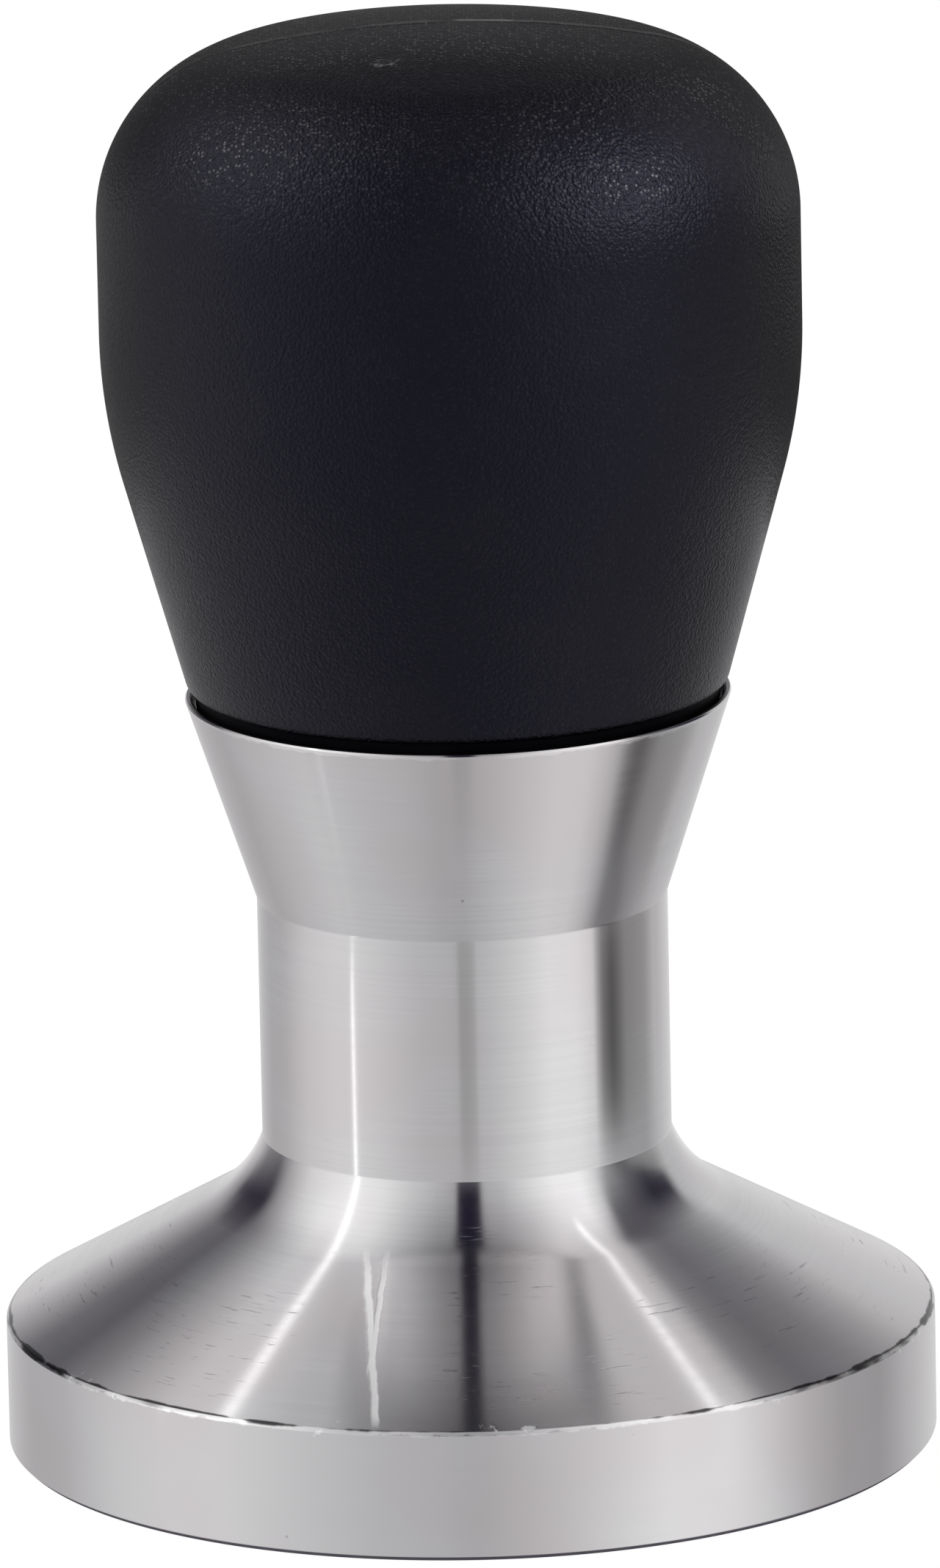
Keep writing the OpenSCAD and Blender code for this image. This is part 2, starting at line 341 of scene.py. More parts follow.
def turnedLinesGroup():
    # Tool lines round the axis: noise that changes quickly along the outline, where height - 0.7 * distance from the
    # axis always grows or falls, and slowly round it
    tree, given, out = group("turnedLines", {"Lines per metre": 6000.0, "Breaks per metre": 60.0}, ["Height"])
    x, y, height = split(tree, given["Place"])
    travel = maths(tree, "MULTIPLY_ADD", length(tree, x, y), -0.7, height)
    place = put(tree, "ShaderNodeCombineXYZ", {0: maths(tree, "MULTIPLY", x, given["Breaks per metre"]),
                                               1: maths(tree, "MULTIPLY", y, given["Breaks per metre"]),
                                               2: maths(tree, "MULTIPLY", travel, given["Lines per metre"])})
    tree.links.new(cloud(tree, place.outputs[0], 1.0, 3.0, 0.6), out["Height"])
    return tree


def grainGroup():
    # Moulded grain: 0.7 * noise - 0.5 * the distance to the nearest cell's middle, which leaves shallow pits
    tree, given, out = group("mouldedGrain", {"Grain per metre": 4500.0}, ["Height"])
    fine = cloud(tree, given["Place"], given["Grain per metre"], 3.0, 0.7)
    pits = put(tree, "ShaderNodeTexVoronoi", {"Vector": given["Place"], "Scale": given["Grain per metre"]})
    both = maths(tree, "MULTIPLY_ADD", pits.outputs["Distance"], -0.5, maths(tree, "MULTIPLY", fine, 0.7))
    tree.links.new(both, out["Height"])
    return tree


def specksGroup():
    # Small scattered spots: the middles of the few cells whose random value is below the share
    tree, given, out = group("specks", {"Cells per metre": 300.0, "Share": 0.1, "Size": 0.1}, ["Mask"])
    cells = put(tree, "ShaderNodeTexVoronoi", {"Vector": given["Place"], "Scale": given["Cells per metre"]})
    value = put(tree, "ShaderNodeSeparateColor", {0: cells.outputs["Color"]}).outputs[0]
    chosen = maths(tree, "LESS_THAN", value, given["Share"])
    near = between(tree, maths(tree, "DIVIDE", cells.outputs["Distance"], given["Size"]), 1.0, 0.5)
    tree.links.new(maths(tree, "MULTIPLY", near, chosen), out["Mask"])
    return tree


def wornEdgeGroup():
    # A turned edge is a circle at a distance from the axis and a height. Line, a painted shade line, is within Width
    # of it, and wider at the sides. Nicks are small chips beside it. Burr is a ragged stroke just below it.
    tree, given, out = group("edgeShadeAndWear", {"Distance": 0.029, "Height": 0.008, "Width": 0.0002},
                             ["Line", "Nicks", "Burr"])
    x, y, height = split(tree, given["Place"])
    aside = maths(tree, "SUBTRACT", length(tree, x, y), given["Distance"])
    above = maths(tree, "SUBTRACT", height, given["Height"])
    off = maths(tree, "DIVIDE", length(tree, aside, above), given["Width"])
    uneven = cloud(tree, given["Place"], 260.0, 4.0)
    chips = cloud(tree, given["Place"], 900.0, 3.0)
    strokes = cloud(tree, given["Place"], 130.0, 3.0)

    sideways = between(tree, maths(tree, "ABSOLUTE", x), 0.013, 0.026)
    close = maths(tree, "ADD", off, between(tree, uneven, 0.35, 0.62, 0.0, 0.8))
    close = maths(tree, "MULTIPLY_ADD", sideways, -0.45, maths(tree, "ADD", close, 0.2))
    tree.links.new(between(tree, close, 1.15, 0.55), out["Line"])

    few = maths(tree, "MULTIPLY", between(tree, chips, 0.6, 0.68), between(tree, uneven, 0.5, 0.6))
    tree.links.new(maths(tree, "MULTIPLY", few, between(tree, off, 3.0, 1.6)), out["Nicks"])

    ragged = maths(tree, "MULTIPLY_ADD", maths(tree, "SUBTRACT", chips, 0.5), 0.0006, above)
    under = maths(tree, "MULTIPLY", between(tree, above, 0.0, -0.00008),
                  between(tree, ragged, -0.00033, -0.00018))
    shown = maths(tree, "MULTIPLY", between(tree, strokes, 0.38, 0.5), between(tree, aside, -0.0004, -0.0002))
    tree.links.new(maths(tree, "MULTIPLY", under, shown), out["Burr"])
    return tree


def scratchGroup():
    # A scratch that is straight from above: x = start + tilt * y. It fades out at a low and a high end.
    tree, given, out = group("scratch", {"Start": 0.0, "Tilt": 0.0, "Width": 0.0001, "Low": 0.009, "High": 0.016},
                             ["Mask"])
    x, y, height = split(tree, given["Place"])
    wander = 0.0003
    wandered = maths(tree, "MULTIPLY_ADD", cloud(tree, given["Place"], 700.0, 3.0), wander, x)
    middle = maths(tree, "ADD", maths(tree, "MULTIPLY_ADD", y, given["Tilt"], given["Start"]), wander / 2)
    off = maths(tree, "ABSOLUTE", maths(tree, "SUBTRACT", wandered, middle))
    near = between(tree, maths(tree, "DIVIDE", off, given["Width"]), 1.0, 0.3)
    within = maths(tree, "MULTIPLY",
                   between(tree, height, given["Low"], maths(tree, "ADD", given["Low"], 0.0007)),
                   between(tree, height, given["High"], maths(tree, "SUBTRACT", given["High"], 0.002)))
    front = maths(tree, "LESS_THAN", y, 0.0)
    tree.links.new(maths(tree, "MULTIPLY", maths(tree, "MULTIPLY", near, within), front), out["Mask"])
    return tree


def partingLineGroup():
    # A fine mould line over the crown, where y = start + tilt * x + bend * x * x. Groove is its middle, and Burr is its
    # far side: a raised edge with a painted highlight, and one dash of painted highlight brighter than the rest.
    tree, given, out = group("partingLine", {"Start": 0.0005, "Tilt": 0.07, "Bend": 2.0, "Width": 0.0004,
                                             "Lowest": 0.085}, ["Groove", "Burr"])
    x, y, height = split(tree, given["Place"])
    wander = 0.0006
    slope = maths(tree, "MULTIPLY_ADD", given["Bend"], x, given["Tilt"])
    curve = maths(tree, "MULTIPLY_ADD", slope, x, given["Start"])
    wandered = maths(tree, "MULTIPLY_ADD", cloud(tree, given["Place"], 500.0, 2.0), wander, y)
    ahead = maths(tree, "SUBTRACT", wandered, maths(tree, "ADD", curve, wander / 2))
    off = maths(tree, "DIVIDE", ahead, given["Width"])
    shown = maths(tree, "MULTIPLY",
                  between(tree, height, given["Lowest"], maths(tree, "ADD", given["Lowest"], 0.002)),
                  between(tree, cloud(tree, given["Place"], 170.0, 1.0), 0.35, 0.55))
    near = between(tree, maths(tree, "ABSOLUTE", off), 1.0, 0.2)
    tree.links.new(maths(tree, "MULTIPLY", near, shown), out["Groove"])
    beyond = between(tree, maths(tree, "ABSOLUTE", maths(tree, "SUBTRACT", off, 1.6)), 1.3, 0.5)
    dash = between(tree, maths(tree, "ABSOLUTE", maths(tree, "SUBTRACT", x, 0.0025)), 0.0022, 0.0014)
    strongest = maths(tree, "MAXIMUM", maths(tree, "MULTIPLY", shown, 0.35), dash)
    tree.links.new(maths(tree, "MULTIPLY", beyond, strongest), out["Burr"])
    return tree


turnedLines, mouldedGrain, specks = turnedLinesGroup(), grainGroup(), specksGroup()
edgeShadeAndWear, scratch, partingLine = wornEdgeGroup(), scratchGroup(), partingLineGroup()


def newMaterial(name):
    material = bpy.data.materials.new(name)
    material.use_nodes = True
    tree = material.node_tree
    shader = tree.nodes["Principled BSDF"]
    return material, tree, shader.inputs, put(tree, "ShaderNodeTexCoord").outputs["Object"]


# Heights, distances and widths in the finishes are in metres. A pair is where a change starts and where it is complete.

steelLook = {
    "light": (0.61, 0.605, 0.612, 1), "dark": (0.575, 0.57, 0.578, 1), "warm": (0.58, 0.557, 0.565, 1),
    # edge is the near-black colour of a painted shade line along the rim's edge; each edge's how dark sets its share
    "mark": (0.30, 0.29, 0.30, 1), "edge": (0.05, 0.046, 0.05, 1), "nick": (0.95, 0.95, 0.95, 1),
    "smoothest": 0.15, "roughest": 0.17, "markRoughness": 0.3, "anisotropy": 0.9, "tangentTurn": 0.25,
    "linesPerMetre": 6500.0, "lineBreaks": 45.0, "bandsPerMetre": 1300.0, "bandBreaks": 12.0,
    "marksPerMetre": 5200.0, "markBreaks": 420.0, "patchesPerMetre": 90.0, "tonesPerMetre": 75.0,
    "dots": {"Cells per metre": 520.0, "Share": 0.05, "Size": 0.07},
    "lineHeight": 0.0000002, "markDepth": 0.00001, "markShare": 0.5,
    "rimLines": 0.25, "rimTop": (0.0078, 0.0084),                                   # fainter lines below the rim's top
    "marksFrom": (0.0085, 0.0092), "neckMarks": 0.12, "marksFull": (0.0185, 0.0145),      # most marks on the shoulder
    "edges": [(0.02887, 0.00821, 0.00026, 1.0, 1.0),                   # distance, height, width, how dark, how ragged
              (0.01690, 0.04752, 0.00009, 0.0, 0.4)],
    "scratches": [(-0.0068, -0.03, 0.00032, 0.0082), (-0.0032, 0.13, 0.00026, 0.0103)],      # start, tilt, width, low
}


def turnedSteel(name, look):
    material, tree, shader, place = newMaterial(name)
    height = split(tree, place)[2]

    def linesOf(perMetre, breaks):
        return use(tree, turnedLines, {"Place": place, "Lines per metre": perMetre, "Breaks per metre": breaks})[0]

    lines = maths(tree, "MULTIPLY_ADD", linesOf(look["linesPerMetre"], look["lineBreaks"]), 0.5, -0.5)
    both = maths(tree, "MULTIPLY_ADD", linesOf(look["bandsPerMetre"], look["bandBreaks"]), 0.5, lines)
    both = maths(tree, "MULTIPLY_ADD", both, between(tree, height, *look["rimTop"], look["rimLines"], 1.0), 0.5)

    short = linesOf(look["marksPerMetre"], look["markBreaks"])
    patches = cloud(tree, place, look["patchesPerMetre"], 3.0)
    marks = maths(tree, "MULTIPLY", between(tree, short, 0.62, 0.7), between(tree, patches, 0.5, 0.62))
    marks = maths(tree, "MULTIPLY", marks, between(tree, height, *look["marksFrom"]))
    marks = maths(tree, "MULTIPLY", marks, between(tree, height, *look["marksFull"], look["neckMarks"], 1.0))
    dots = use(tree, specks, {"Place": place, **look["dots"]})[0]
    marks = maths(tree, "MULTIPLY", maths(tree, "MAXIMUM", marks, dots), look["markShare"])

    tone = between(tree, cloud(tree, place, look["tonesPerMetre"], 2.0), 0.4, 0.62)
    colour = mixed(tree, between(tree, both, 0.3, 0.7), look["dark"], look["light"])
    colour = mixed(tree, tone, colour, look["warm"])
    colour = mixed(tree, marks, colour, look["mark"])
    bright = 0.0
    for distance, level, width, dark, burrs in look["edges"]:
        worn = use(tree, edgeShadeAndWear, {"Place": place, "Distance": distance, "Height": level, "Width": width})
        # The edge's Line is a near-black painted shade line; its nicks and burrs are wear
        colour = mixed(tree, maths(tree, "MULTIPLY", worn["Line"], dark), colour, look["edge"])
        ragged = maths(tree, "MULTIPLY_ADD", worn["Burr"], 0.7, maths(tree, "MULTIPLY", worn["Nicks"], dark))
        bright = maths(tree, "MAXIMUM", maths(tree, "MULTIPLY", ragged, burrs), bright)
    for start, tilt, width, low in look["scratches"]:
        cut = use(tree, scratch, {"Place": place, "Start": start, "Tilt": tilt, "Width": width, "Low": low})[0]
        bright = maths(tree, "MAXIMUM", bright, cut)
    tree.links.new(mixed(tree, bright, colour, look["nick"]), shader["Base Color"])

    damage = maths(tree, "MAXIMUM", marks, bright)
    smooth = between(tree, both, 0.35, 0.65, look["roughest"], look["smoothest"])
    tree.links.new(maths(tree, "MULTIPLY_ADD", damage, look["markRoughness"], smooth), shader["Roughness"])
    bump = put(tree, "ShaderNodeBump", {"Height": both, "Distance": look["lineHeight"], "Strength": 1.0})
    bump = put(tree, "ShaderNodeBump", {"Height": maths(tree, "SUBTRACT", 1.0, damage), "Strength": 1.0,
                                        "Distance": look["markDepth"], "Normal": bump.outputs[0]})
    tree.links.new(bump.outputs[0], shader["Normal"])
    shader["Metallic"].default_value = 1.0
    shader["Anisotropic"].default_value = look["anisotropy"]
    shader["Anisotropic Rotation"].default_value = look["tangentTurn"]
    tangent = put(tree, "ShaderNodeTangent", direction_type="RADIAL", axis="Z")
    tree.links.new(tangent.outputs[0], shader["Tangent"])
    return material


plasticLook = {
    "colour": (0.0011, 0.001, 0.002, 1), "worn": (0.003, 0.0029, 0.0035, 1), "tint": (0.67, 0.67, 1.0, 1),
    # The light grey after the speck colour is the painted highlight on the mould line's edge, and also the scuff's
    # colour
    "speck": (0.2, 0.2, 0.2, 1), "burrHighlightAndScuff": (0.16, 0.155, 0.15, 1), "roughness": 0.27, "gloss": 0.22,
    "grainHeight": 0.0001, "grainPerMetre": 4300.0, "wornPerMetre": 120.0,
    "dots": {"Cells per metre": 150.0, "Share": 0.035, "Size": 0.014},
    "lineStrength": 1.0, "lineHeight": 0.00008,
    "scuff": (-0.0036, -0.0083, 0.0888), "scuffRadius": (0.0011, 0.0004), "tearsPerMetre": 3800.0,
    "glint": 0.9, "lowGlint": 0.12, "glintFrom": (0.0795, 0.087), "glints": {"Share": 0.3, "Size": 0.5},
}


def mouldedPlastic(name, look):
    material, tree, shader, place = newMaterial(name)
    rubbed = cloud(tree, place, look["wornPerMetre"], 4.0)
    dots = use(tree, specks, {"Place": place, **look["dots"]})[0]
    colour = mixed(tree, between(tree, rubbed, 0.45, 0.7), look["colour"], look["worn"])
    colour = mixed(tree, dots, colour, look["speck"])

    parting = use(tree, partingLine, {"Place": place})
    away = put(tree, "ShaderNodeVectorMath", {0: place, 1: look["scuff"]}, operation="DISTANCE").outputs["Value"]
    torn = between(tree, cloud(tree, place, look["tearsPerMetre"], 2.0), 0.5, 0.62)
    scuff = maths(tree, "MULTIPLY", between(tree, away, *look["scuffRadius"]), torn)
    groove = maths(tree, "MULTIPLY", parting["Groove"], look["lineStrength"])
    # The mould line's far side and its bright dash are painted highlight in light grey; the scuff is real wear
    burrHighlightAndScuff = maths(tree, "MULTIPLY", maths(tree, "MAXIMUM", parting["Burr"], scuff), look["lineStrength"])
    tree.links.new(mixed(tree, burrHighlightAndScuff, colour, look["burrHighlightAndScuff"]), shader["Base Color"])

    soft = between(tree, rubbed, 0.3, 0.7, look["roughness"] - 0.02, look["roughness"] + 0.05)
    tree.links.new(maths(tree, "MULTIPLY_ADD", groove, 0.2, soft), shader["Roughness"])
    grain = use(tree, mouldedGrain, {"Place": place, "Grain per metre": look["grainPerMetre"]})[0]
    bump = put(tree, "ShaderNodeBump", {"Height": grain, "Distance": look["grainHeight"], "Strength": 1.0})
    bump = put(tree, "ShaderNodeBump", {"Height": maths(tree, "SUBTRACT", burrHighlightAndScuff, groove), "Strength": 1.0,
                                        "Distance": look["lineHeight"], "Normal": bump.outputs[0]})
    tree.links.new(bump.outputs[0], shader["Normal"])

    if look["glint"]:        # single grains that catch the light, mostly on the handle's shoulder and crown
        glints = use(tree, specks, {"Place": place, "Cells per metre": look["grainPerMetre"], **look["glints"]})[0]
        shown = between(tree, split(tree, place)[2], *look["glintFrom"], look["lowGlint"], 1.0)
        glints = maths(tree, "MULTIPLY", maths(tree, "MULTIPLY", glints, shown), look["glint"])
        tree.links.new(glints, shader["Coat Weight"])
        shader["Coat Roughness"].default_value = look["roughness"]
    shader["Specular IOR Level"].default_value = look["gloss"]
    shader["Specular Tint"].default_value = look["tint"]
    return material


steel = turnedSteel("turned_steel", steelLook)
studSteel = turnedSteel("stud_steel", {**steelLook, "dark": (0.3, 0.3, 0.31, 1), "light": (0.42, 0.42, 0.43, 1),
                                       "smoothest": 0.22, "roughest": 0.32})
brass = turnedSteel("insert_brass", {**steelLook, "dark": (0.55, 0.38, 0.16, 1), "light": (0.72, 0.52, 0.25, 1)})
softGrip = mouldedPlastic("soft_grip", plasticLook)
# The core is dulled to near-black, a painted shade, so its foot ring under the grip reads as a shadowed gap
corePlasticPaintedShade = mouldedPlastic("core_plastic", {**plasticLook, "colour": (0.001, 0.001, 0.0014, 1), "gloss": 0.03,
                                              "roughness": 0.5, "glint": 0.0, "grainHeight": 0.000006,
                                              "lineStrength": 0.0})
rubber = mouldedPlastic("gasket_rubber", {**plasticLook, "colour": (0.006, 0.006, 0.006, 1), "roughness": 0.55,
                                          "lineStrength": 0.0})
print("materials ready")

ready(basePiece(base), "base", "steel_base", steel)
ready(studPiece(stud), "handle", "joining_stud", studSteel)
ready(gasketPiece(gasket), "gasket", "foot_gasket", rubber)
ready(lathe("soft_skin", gripOutline(grip), grip["steps"]), "handle", "grip_skin", softGrip)

for node, finish in {"handle_core": corePlasticPaintedShade, "core_lid": corePlasticPaintedShade, "threaded_insert": brass}.items():
    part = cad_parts[node]
    part.data.materials.clear()
    part.data.materials.append(finish)
print("pieces ready")


view = {"position": (0, -956.85, 280.9), "target": (0.62, 0, 41.54), "lens": 365.2, "roll": -1.17}

# Each row of the studio's light is for surfaces that lean back by so many degrees, and says how bright it looks in them
# by the way they face: 0 degrees is towards the camera, and the angle grows towards its right.
studio = {
    -45: [(-90, 0.06), (90, 0.06)],
    -32: [(-90, 0.5), (-30, 0.75), (0, 0.6), (30, 0.8), (60, 0.5), (90, 0.6)],
    -18: [(-90, 0.7), (-61, 0.6), (-51, 0.73), (-36, 0.88), (-24, 0.78), (-12, 0.71), (-5, 0.62), (0, 0.62), (5, 0.7),
          (15, 0.9), (22, 1.02), (29, 0.98), (34, 0.75), (40, 0.24), (46, 0.22), (56, 0.55), (66, 0.7), (90, 0.7)],
    0: [(-90, 0.75), (-70, 0.62), (-60, 0.72), (-50, 0.94), (-40, 1.05), (-32.4, 1.04),
        (-21, 0.87), (-12, 0.75), (0, 0.7), (6, 0.77), (10, 0.86), (17, 1.02), (24, 1.22),
        (33, 1.24), (39, 1.1), (45, 0.84), (52, 0.6), (60, 0.5), (67, 0.66), (75, 0.78), (90, 0.8)],
    22: [(-90, 0.9), (-80, 0.7), (-73, 0.3), (-64, 0.18), (-57, 0.65), (-48, 1.1), (-32.4, 1.4),
         (-24, 1.26), (-16, 0.95), (-8, 0.72), (-3.5, 0.6), (-2.9, 0.01), (3.1, 0.01), (3.7, 0.66),
         (9, 0.75), (16, 1.1), (24, 1.45), (32, 1.48), (37, 1.1), (41, 0.5), (48, 0.22), (55, 0.05), (65, 0.05),
         (69, 0.7), (80, 0.75), (90, 0.9)],
    38: [(-90, 0.82), (-80, 0.3), (-77, 0.04), (-62, 0.02), (-58, 0.42), (-48, 1.0), (-40, 1.35), (-33.3, 1.45),
         (-31.5, 1.4), (-24, 1.2), (-16, 0.8), (-8, 0.48), (-3.5, 0.42), (-2.9, 0.01), (3.1, 0.01),
         (3.7, 0.44), (9, 0.55), (16, 0.8), (24, 1.25), (32, 1.45), (37, 0.9), (39.5, 0.18), (48, 0.1), (55, 0.015),
         (63, 0.015), (67, 0.7), (80, 0.8), (90, 0.82)],
    52: [(-90, 0.8), (-80, 0.48), (-72, 0.12), (-64, 0.1), (-56, 0.31), (-48, 0.66), (-40, 1.05), (-33.3, 1.15),
         (-31, 1.15), (-26, 1.15), (-20, 0.85), (-16, 0.64), (-8, 0.34), (-4.1, 0.28), (-3.4, 0.0),
         (3.6, 0.0), (4.3, 0.26), (8, 0.32), (16, 0.7), (22, 1.0), (25, 1.0), (28.5, 0.88), (34, 0.95),
         (38.5, 0.09), (48, 0.16), (58, 0.34), (66, 0.6), (72, 0.84), (90, 0.84)],
    61: [(-90, 0.78), (-80, 0.47), (-72, 0.28), (-64, 0.19), (-56, 0.33), (-48, 0.62), (-40, 0.92), (-33.3, 0.95),
         (-30.9, 0.85), (-24, 0.66), (-16, 0.7), (-8, 0.3), (-4.8, 0.16), (-3.9, 0.0), (5.0, 0.0), (6, 0.2),
         (8, 0.46), (12, 0.62), (14, 0.7), (16, 0.5), (22, 0.8), (26, 0.8), (30.6, 0.85), (36, 0.95), (40, 0.42),
         (46, 0.26), (56, 0.34), (64, 0.5), (72, 0.74), (90, 0.8)],
    68: [(-90, 0.6), (-60, 0.15), (-30, 0.15), (-8, 0.01), (8, 0.01), (30, 0.15), (60, 0.15), (90, 0.6)],
    75: [(-90, 0.2), (-60, 0.03), (0, 0.0), (60, 0.03), (90, 0.2)],
    81: [(-90, 0.12), (0, 0.03), (90, 0.12)],
    86: [(-90, 0.25), (90, 0.25)],
}

# Narrow lights. A surface that mirrors one faces between the first two angles and leans between the next two. Then
# come its brightness and how much it turns with each degree of lean past streakLean.
streaks = [(-33.0, -31.5, 16, 66, 2.3, 0.0), (30.2, 30.9, 38, 66, 3.4, 0.22)]
streakLean = 55

brightest = {"studio": 4.0, "card": 16.0}        # a ramp holds 0 to 1, so its colours are shares of these
cast = {"green": 0.004, "blue": 0.016}           # the studio is a little less green, and bluer where it is dim


def fillRamp(stops, rows):
    # A new ramp has two stops, which become the first and last of the rows
    for i, (where, colour) in enumerate(rows):
        stop = stops[0] if i == 0 else stops[-1] if i == len(rows) - 1 else stops.new(where)
        stop.position = where
        stop.color = (*colour, 1)


def buildWorld(levels, position, target):
    # A surface that mirrors the camera into a direction faces halfway between that direction and the camera
    toCamera = (Vector(position) - Vector(target)).normalized()
    world = bpy.data.worlds.new("studio")
    scene.world = world
    world.use_nodes = True
    tree = world.node_tree
    halfway = put(tree, "ShaderNodeVectorMath", {0: put(tree, "ShaderNodeTexCoord").outputs["Generated"], 1: toCamera})
    facing = put(tree, "ShaderNodeVectorMath", {0: halfway.outputs[0]}, operation="NORMALIZE").outputs[0]
    place = put(tree, "ShaderNodeSeparateXYZ", {0: facing}).outputs
    back = maths(tree, "MULTIPLY", place[1], -1.0)
    turn = maths(tree, "MULTIPLY_ADD", maths(tree, "ARCTAN2", place[0], back), 1 / math.pi, 0.5)
    lean = maths(tree, "MULTIPLY", maths(tree, "ARCSINE", place[2]), 180 / math.pi)
    full = brightest["studio"]
    light, last = None, None
    for level, rows in levels.items():
        ramp = put(tree, "ShaderNodeValToRGB", {0: turn})
        fillRamp(ramp.color_ramp.elements,
                 [(angle / 180 + 0.5,
                   (b / full, (b - cast["green"]) / full, (b + cast["blue"] * max(0.0, 1 - b)) / full))
                  for angle, b in rows])
        if light is None:
            light = ramp.outputs[0]
        else:
            share = put(tree, "ShaderNodeMapRange", {0: lean, 1: last, 2: level}).outputs[0]
            light = mixed(tree, share, light, ramp.outputs[0])
        last = level
    angle = maths(tree, "MULTIPLY_ADD", turn, 180.0, -90.0)
    for left, right, low, high, brightness, slant in streaks:
        aside = maths(tree, "SUBTRACT", angle, maths(tree, "MULTIPLY_ADD", lean, slant, -streakLean * slant))
        across = maths(tree, "MULTIPLY", between(tree, aside, left - 0.2, left + 0.2),
                       between(tree, aside, right + 0.2, right - 0.2))
        inside = maths(tree, "MULTIPLY", between(tree, lean, low, low + 6), between(tree, lean, high, high - 3))
        light = mixed(tree, maths(tree, "MULTIPLY", across, inside), light, (brightness / full,) * 3 + (1,))
    ray = put(tree, "ShaderNodeLightPath").outputs["Is Camera Ray"]
    lit = put(tree, "ShaderNodeBackground", {"Color": light, "Strength": full}).outputs[0]
    seen = put(tree, "ShaderNodeBackground", {"Color": (1, 1, 1, 1), "Strength": 1.0}).outputs[0]
    shown = put(tree, "ShaderNodeMixShader", {0: ray, 1: lit, 2: seen}).outputs[0]
    tree.links.new(shown, tree.nodes["World Output"].inputs["Surface"])


# Cards that stand close to the tamper, seen only in what mirrors them. Each is a flat rectangle round its centre,
# square to the line that it faces along and clear from behind. Its brightness goes from its right to its left as seen
# from the tamper, and a soft card fades towards its top and bottom. Places and sizes are in millimetres. What stands
# further off than a card's reach, in metres, doesn't mirror it.
cards = {
    "right_card": {"centre": (45, 5.75, 19.75), "facing": (-1, 0, 0), "width": 46.5, "height": 16.5, "reach": 1,
                   "brightness": [(0, 0.8), (0.09, 0.25), (0.2, 0.11), (0.28, 0.2), (0.38, 0.36), (0.7, 0.46),
                                  (1, 0.75)]},
    "front_card": {"centre": (0.8, -45, 19.75), "facing": (0, 1, 0), "width": 6.8, "height": 16.5, "reach": 1,
                   "brightness": [(0, 0.6), (0.2, 0.5), (0.6, 0.52), (1, 0.6)]},
    "left_card": {"centre": (-38.26, -24.7, 14.5), "facing": (0.9135, 0.4067, 0), "width": 1.1, "height": 19,
                  "reach": 0.041, "brightness": [(0, 2.2), (0.5, 2.6), (1, 2.2)]},
    "back_shelf": {"centre": (0, 140, 50), "facing": (0, -0.001, 1), "width": 240, "height": 230, "reach": 1,
                   "brightness": [(0, 0.1), (0.4, 0.08), (0.5, 0.12), (0.6, 0.2), (1, 0.3)]},
    "corner_card": {"centre": (0, 62, 91), "facing": (0, -1, 0), "width": 120, "height": 38, "reach": 0.086,
                    "brightness": [(0, 0.08), (0.5, 0.15), (1, 0.12)]},
    "crown_card": {"centre": (0, 62, 124), "facing": (0, -1, 0), "width": 140, "height": 28, "soft": True,
                   "reach": 0.077, "brightness": [(0, 0.04), (0.24, 0.14), (0.38, 0.7), (0.5, 0.8), (0.62, 0.7),
                                                  (0.76, 0.14), (1, 0.04)]},
    "right_box": {"centre": (64, -31, 119), "facing": (-0.899, 0.267, -0.345), "width": 48, "height": 42, "soft": True,
                  "reach": 0.078, "brightness": [(0, 1.4), (0.3, 12), (0.7, 12), (1, 1.4)]},
    "left_box": {"centre": (-66.8, -1.9, 127.9), "facing": (0.763, -0.173, -0.623), "width": 40, "height": 30,
                 "reach": 0.08, "brightness": [(0, 1.2), (0.25, 3.4), (0.75, 3.4), (1, 1.2)]},
}
edgeShare = 0.15         # how bright a soft card's top and bottom stay


def buildCard(name, c):
    # Corners: centre +- half the width along the level side and half the height along the other
    facing = np.array(c["facing"], float) / np.linalg.norm(c["facing"])
    level = np.cross(facing, (0, 0, 1))
    level = level / np.linalg.norm(level)
    rise = np.cross(level, facing)
    side = np.array([(-1, -1), (1, -1), (1, 1), (-1, 1)]) / 2
    corners = c["centre"] + side[:, :1] * c["width"] * level + side[:, 1:] * c["height"] * rise
    mesh = bpy.data.meshes.new(name)
    mesh.from_pydata(corners * mm, [], [(3, 2, 1, 0)])
    card = bpy.data.objects.new(name, mesh)
    scene.collection.objects.link(card)
    card.visible_camera = card.visible_shadow = card.visible_diffuse = False
    material, tree, shader, place = newMaterial(name)
    across = put(tree, "ShaderNodeVectorMath", {0: place, 1: level}, operation="DOT_PRODUCT").outputs["Value"]
    middle, half = np.array(c["centre"]) @ level * mm, c["width"] / 2 * mm
    share = put(tree, "ShaderNodeMapRange", {0: across, 1: middle - half, 2: middle + half}).outputs[0]
    ramp = put(tree, "ShaderNodeValToRGB", {0: share})
    full = brightest["card"]
    fillRamp(ramp.color_ramp.elements, [(where, (b / full,) * 3) for where, b in c["brightness"]])
    strength = full
    if c.get("soft"):
        up = put(tree, "ShaderNodeVectorMath", {0: place, 1: rise}, operation="DOT_PRODUCT").outputs["Value"]
        fromMiddle = maths(tree, "ABSOLUTE", maths(tree, "SUBTRACT", up, np.array(c["centre"]) @ rise * mm))
        strength = between(tree, fromMiddle, c["height"] / 2 * mm, 0.0, full * edgeShare, full)
    glow = put(tree, "ShaderNodeEmission", {"Color": ramp.outputs[0], "Strength": strength}).outputs[0]
    outside = maths(tree, "GREATER_THAN", put(tree, "ShaderNodeLightPath").outputs["Ray Length"], c["reach"])
    gone = maths(tree, "MAXIMUM", outside, put(tree, "ShaderNodeNewGeometry").outputs["Backfacing"])
    clear = put(tree, "ShaderNodeBsdfTransparent").outputs[0]
    shown = put(tree, "ShaderNodeMixShader", {0: gone, 1: glow, 2: clear}).outputs[0]
    tree.links.new(shown, tree.nodes["Material Output"].inputs["Surface"])
    mesh.materials.append(material)


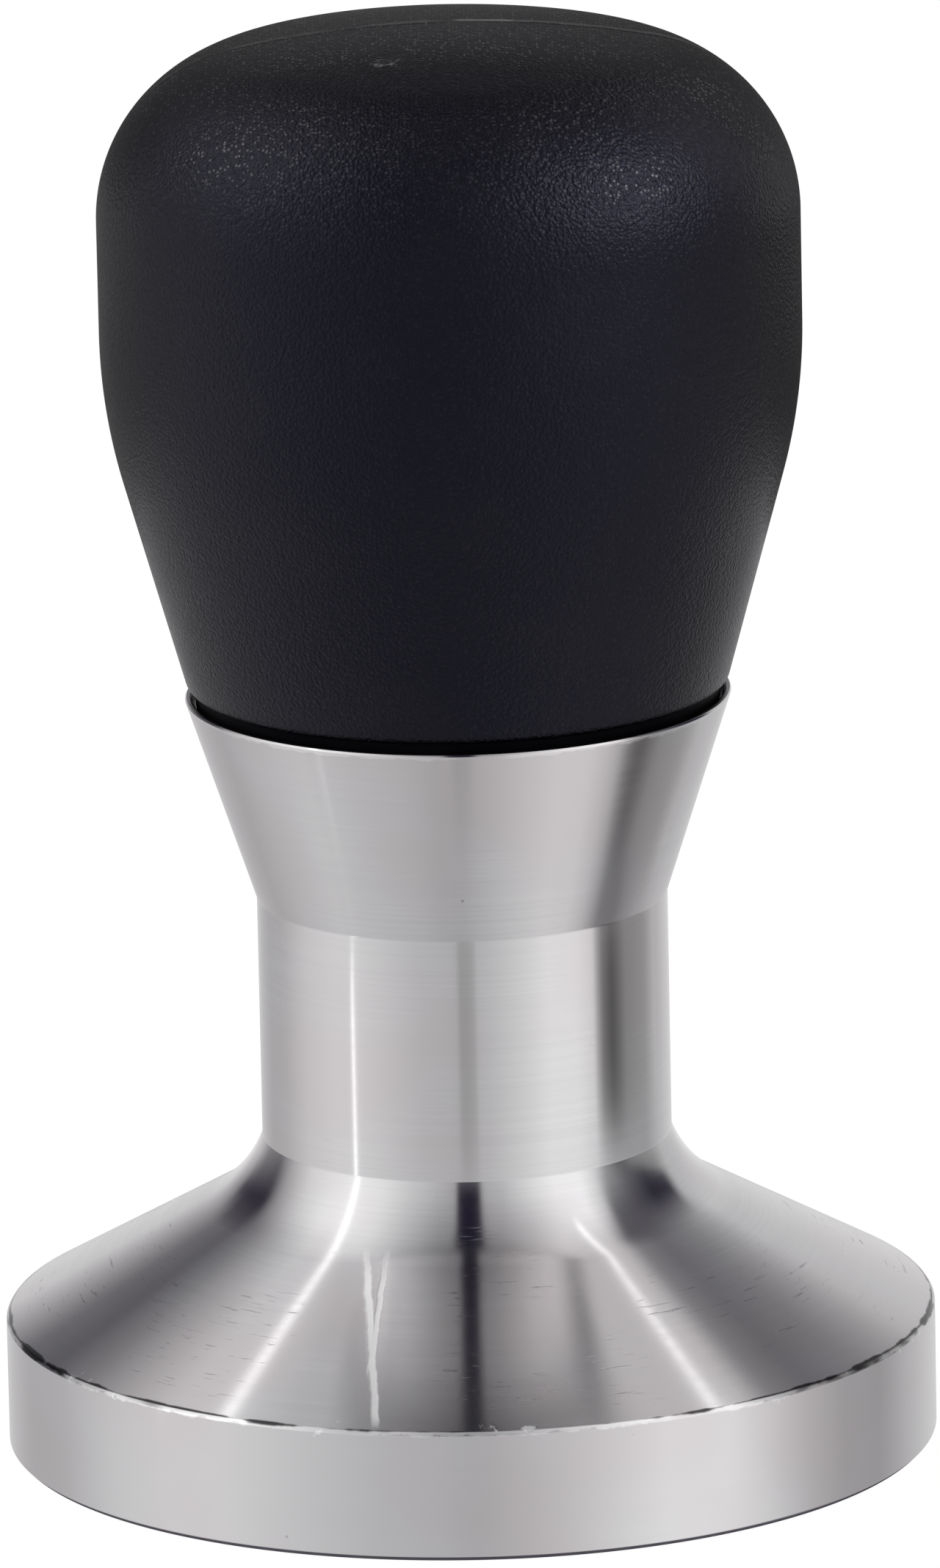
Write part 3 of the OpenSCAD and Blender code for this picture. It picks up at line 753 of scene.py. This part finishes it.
floorLook = {"size": 6.0, "height": -0.00002, "colour": (0.9, 0.9, 0.9, 1), "glow": 1.06, "glowShare": 0.9}


def buildFloor(look):
    # The camera sees it nearly as a plain glow, so no shadow is dark on it. Everything else sees a dull pale floor.
    mesh = bpy.data.meshes.new("floor")
    corners = np.array([(-1, -1, 0), (1, -1, 0), (1, 1, 0), (-1, 1, 0)]) * look["size"]
    mesh.from_pydata(corners, [], [(0, 1, 2, 3)])
    floor = bpy.data.objects.new("floor", mesh)
    scene.collection.objects.link(floor)
    floor.location.z = look["height"]
    floor.visible_glossy = False
    material, tree, shader, place = newMaterial("pale_floor")
    shader["Base Color"].default_value = look["colour"]
    shader["Roughness"].default_value = 1.0
    shader["Specular IOR Level"].default_value = 0.0
    ray = put(tree, "ShaderNodeLightPath").outputs["Is Camera Ray"]
    glow = put(tree, "ShaderNodeEmission", {"Color": (1, 1, 1, 1), "Strength": look["glow"]}).outputs[0]
    dull = tree.nodes["Principled BSDF"].outputs[0]
    shown = put(tree, "ShaderNodeMixShader", {0: maths(tree, "MULTIPLY", ray, look["glowShare"]), 1: dull, 2: glow})
    tree.links.new(shown.outputs[0], tree.nodes["Material Output"].inputs["Surface"])
    mesh.materials.append(material)


def buildCamera(position, target, lens, roll):
    # Looks from position at target, then turned by roll about its own line of sight
    eye, aim = Vector(position) * mm, Vector(target) * mm
    forward = (aim - eye).normalized()
    right = forward.cross(Vector((0, 0, 1))).normalized()
    up = right.cross(forward)
    c, s = math.cos(math.radians(roll)), math.sin(math.radians(roll))
    x, y = c * right + s * up, c * up - s * right
    camera = bpy.data.objects.new("camera", bpy.data.cameras.new("camera"))
    camera.matrix_world = Matrix.Translation(eye) @ Matrix((x, y, -forward)).transposed().to_4x4()
    camera.data.lens = lens
    camera.data.sensor_width = 36
    camera.data.clip_end = 100
    scene.collection.objects.link(camera)
    scene.camera = camera


buildWorld(studio, view["position"], view["target"])
for name, card in cards.items():
    buildCard(name, card)
buildFloor(floorLook)
buildCamera(view["position"], view["target"], view["lens"], view["roll"])
scene.view_settings.view_transform = "Standard"
print("studio ready")
